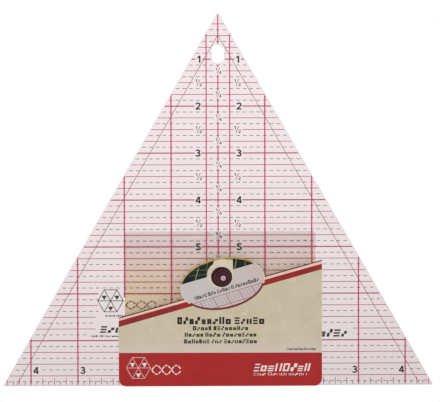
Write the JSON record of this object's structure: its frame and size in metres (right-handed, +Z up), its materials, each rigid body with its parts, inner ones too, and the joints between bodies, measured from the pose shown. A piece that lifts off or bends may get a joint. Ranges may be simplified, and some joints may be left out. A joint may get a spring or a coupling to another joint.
{
  "type": "quilting ruler",
  "caption": "Clear acrylic equilateral-triangle patchwork ruler with a printed inch grid and seam lines, a hang hole under its apex and a folded retail card wrapped round its base.",
  "frame": {"origin": "centre of the hang hole, halfway through the plate's thickness", "axes": "+Z up towards the apex, -Y out of the front face that the print is read from, +X to the right as seen from the front"},
  "size_m": [0.2322, 0.0043, 0.2015],
  "materials": {
    "acrylic": "clear, polished",
    "magenta_ink": "screen-printed ink",
    "black_ink": "screen-printed ink",
    "card_front": "coated printed card",
    "card_fold": "coated printed card",
    "card_back": "coated printed card",
    "glue": "removable clear gum"
  },
  "bodies": {
    "ruler": {"acrylic_plate": "acrylic", "magenta_print": "magenta_ink", "black_print": "black_ink"},
    "card_fold": {"card_fold_strip": "card_fold"},
    "card_front": {"card_front_panel": "card_front", "glue_dot_front_left": "glue", "glue_dot_front_right": "glue"},
    "card_back": {"card_back_panel": "card_back", "glue_dot_back_left": "glue", "glue_dot_back_right": "glue"}
  },
  "joints": [
    {"name": "card_pull_off", "type": "slide", "parent": "ruler", "child": "card_fold", "axis": [0, 0, -1], "range_m": [0, 0.09]},
    {"name": "front_crease", "type": "hinge", "parent": "card_fold", "child": "card_front", "pos_m": [0.0011, -0.0018, -0.17965], "axis": [1, 0, 0], "range_deg": [0, 170]},
    {"name": "back_crease", "type": "hinge", "parent": "card_fold", "child": "card_back", "pos_m": [0.0011, 0.0019, -0.17965], "axis": [-1, 0, 0], "range_deg": [0, 170]}
  ]
}
